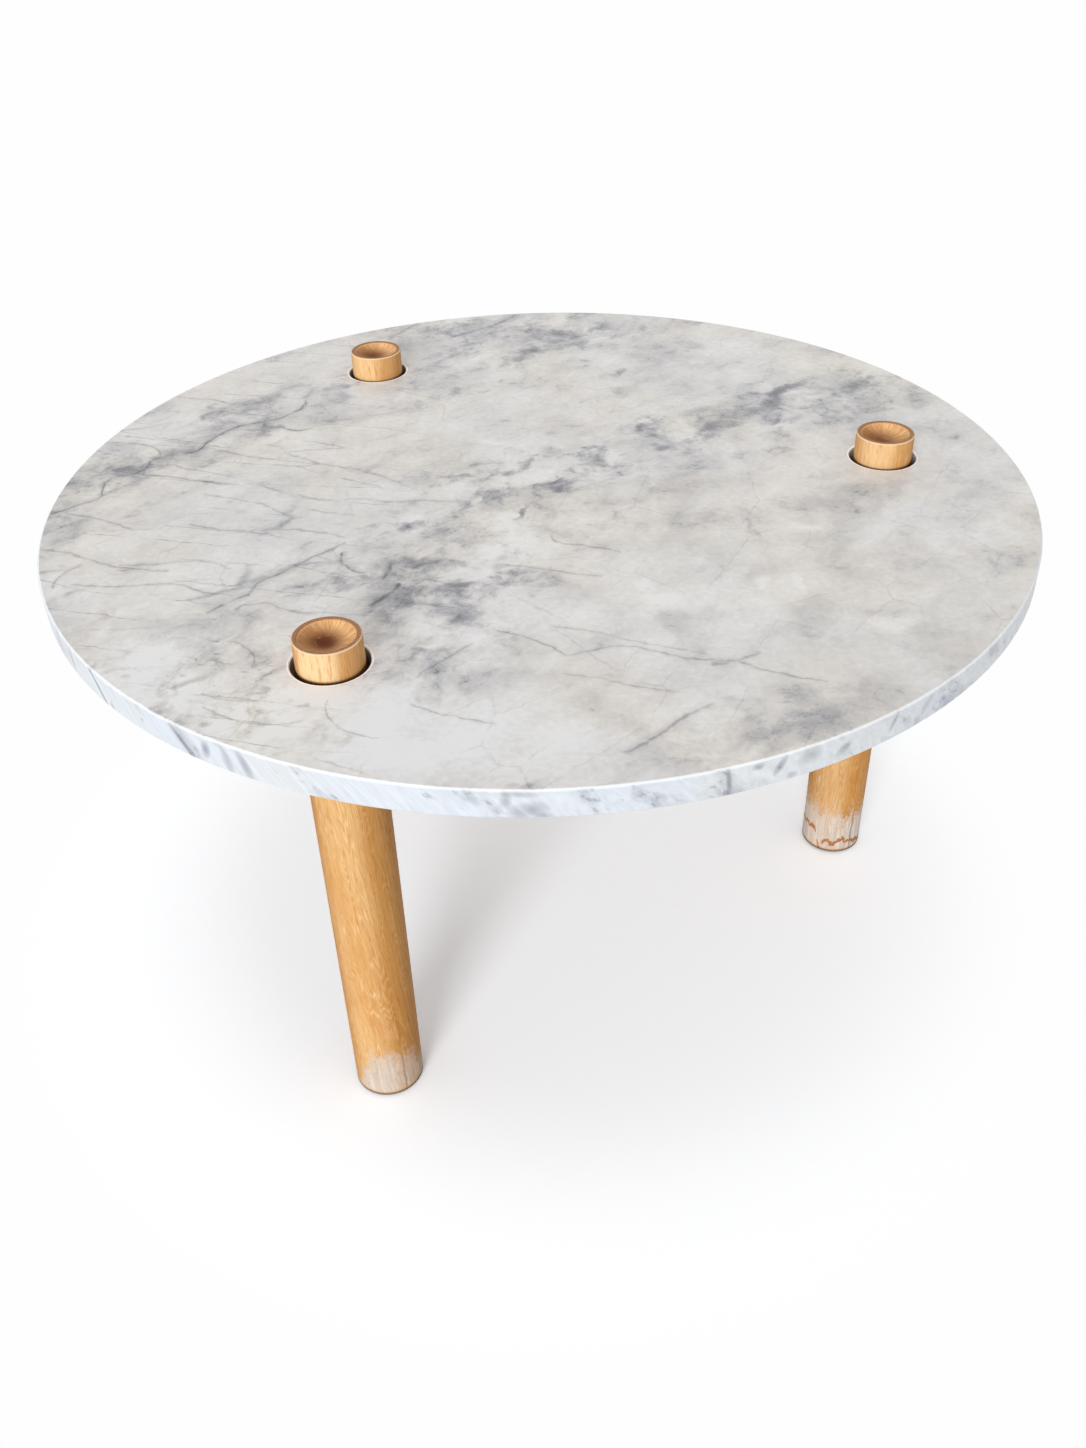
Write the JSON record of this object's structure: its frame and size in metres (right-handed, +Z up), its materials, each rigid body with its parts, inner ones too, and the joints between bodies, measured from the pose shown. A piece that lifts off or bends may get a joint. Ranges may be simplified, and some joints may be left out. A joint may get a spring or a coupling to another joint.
{
  "type": "cocktail table",
  "caption": "Round marble table whose turned oak legs rise through holes in the slab and end in shallow dishes, with a hidden pegged oak frame that carries the loose slab.",
  "frame": {"origin": "centre of the slab, on the floor that the felt pads stand on", "axes": "+Z up, -Y towards the viewer of the picture, +X to that viewer's right"},
  "size_m": [0.7999, 0.8, 0.4498],
  "materials": {
    "marble": "polished, grey veins",
    "oak_leg": "satin oil, worn at the feet",
    "oak_frame": "plain oil",
    "oak_peg": "end grain, oiled",
    "rubber": "matte",
    "felt": "pressed felt"
  },
  "bodies": {
    "base": {"hub": "oak_frame", "bearing_pad_hub": "rubber", "leg_front_left": "oak_leg", "rail_front_left": "oak_frame", "leg_peg_front_left": "oak_peg", "hub_peg_front_left": "oak_peg", "bearing_pad_inner_front_left": "rubber", "bearing_pad_outer_front_left": "rubber", "foot_pad_front_left": "felt", "leg_right": "oak_leg", "rail_right": "oak_frame", "leg_peg_right": "oak_peg", "hub_peg_right": "oak_peg", "bearing_pad_inner_right": "rubber", "bearing_pad_outer_right": "rubber", "foot_pad_right": "felt", "leg_back_left": "oak_leg", "rail_back_left": "oak_frame", "leg_peg_back_left": "oak_peg", "hub_peg_back_left": "oak_peg", "bearing_pad_inner_back_left": "rubber", "bearing_pad_outer_back_left": "rubber", "foot_pad_back_left": "felt"},
    "top": {"marble_top": "marble"}
  },
  "joints": [
    {"name": "top_lift", "type": "slide", "parent": "base", "child": "top", "axis": [0, 0, 1], "range_m": [0, 0.06]}
  ]
}
